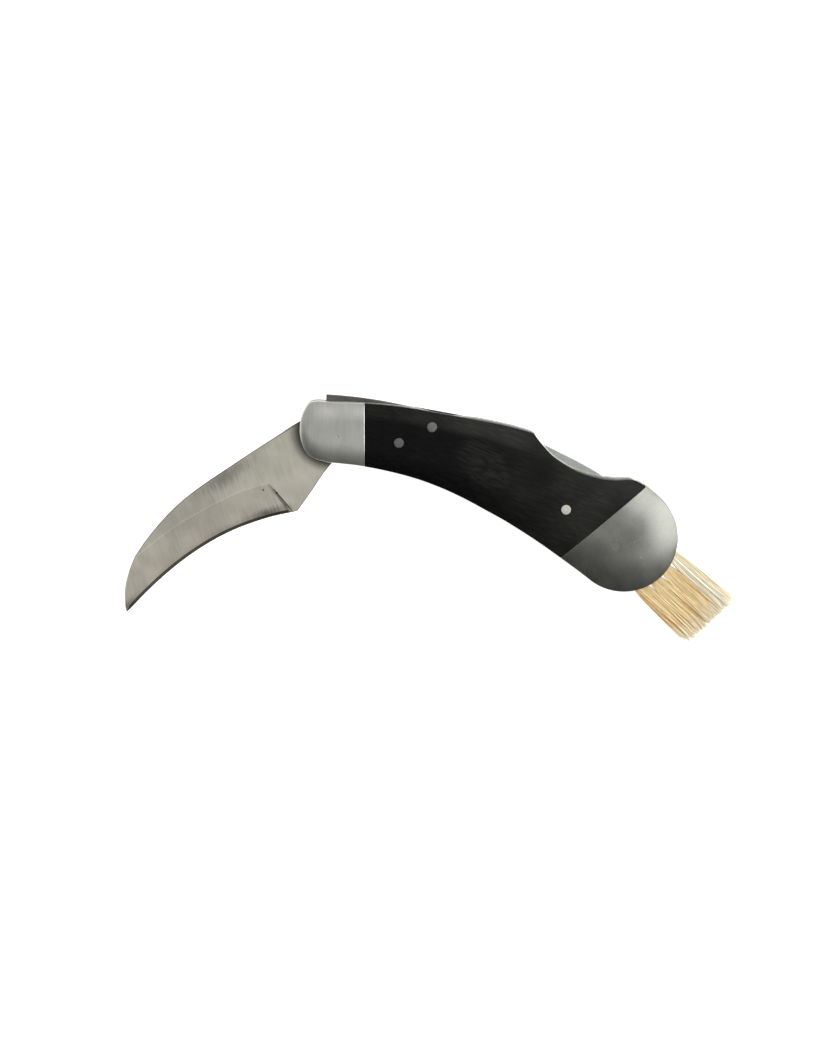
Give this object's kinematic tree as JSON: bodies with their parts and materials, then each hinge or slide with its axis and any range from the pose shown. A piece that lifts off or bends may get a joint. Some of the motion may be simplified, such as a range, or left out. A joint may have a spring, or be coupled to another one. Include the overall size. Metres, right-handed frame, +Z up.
{
  "type": "folding mushroom foraging knife",
  "caption": "Folding foraging knife with a hawkbill blade, a lock bar along the back released by thumb, black scales between steel bolsters, and a brush in the butt.",
  "frame": {"origin": "where the blade pivot's axis meets the plane that the knife lies on", "axes": "+X from the pivot towards the butt, +Y towards the back of the handle, +Z up along the pivot's axis, out of the resting plane"},
  "size_m": [0.1794, 0.0729, 0.0144],
  "materials": {
    "satin_steel": "satin ground",
    "blade_steel": "satin, ground across the blade",
    "bright_steel": "polished pin head",
    "spring_steel": "dark satin",
    "bronze": "dull",
    "black_pakkawood": "satin, resin filled",
    "bristle": "natural bristle"
  },
  "bodies": {
    "handle": {"front_bolster_top": "satin_steel", "front_bolster_bottom": "satin_steel", "scale_top": "black_pakkawood", "scale_bottom": "black_pakkawood", "rear_bolster_top": "satin_steel", "rear_bolster_bottom": "satin_steel", "liner_top": "satin_steel", "liner_bottom": "satin_steel", "pivot_pin": "satin_steel", "rocker_pin": "satin_steel", "rear_pin": "bright_steel", "butt_pin": "satin_steel", "scale_rivet_top": "satin_steel", "scale_rivet_bottom": "satin_steel", "washer_top": "bronze", "washer_bottom": "bronze", "lock_spring": "spring_steel", "butt_spacer": "satin_steel", "brush_block": "satin_steel", "tuft_1": "bristle", "tuft_2": "bristle", "tuft_3": "bristle", "tuft_4": "bristle"},
    "blade": {"blade": "blade_steel"},
    "lock_bar": {"lock_bar": "spring_steel"}
  },
  "joints": [
    {"name": "blade_pivot", "type": "hinge", "parent": "handle", "child": "blade", "pos_m": [0, 0, 0.0072], "axis": [0, 0, 1], "range_deg": [-35, 118]},
    {"name": "lock_rocker", "type": "hinge", "parent": "handle", "child": "lock_bar", "pos_m": [0.02778, 0.00286, 0.0072], "axis": [0, 0, -1], "range_deg": [0, 3], "stiffness_Nm_per_rad": 0.8, "springref_deg": -5.73, "deforming": ["lock_spring"]}
  ]
}
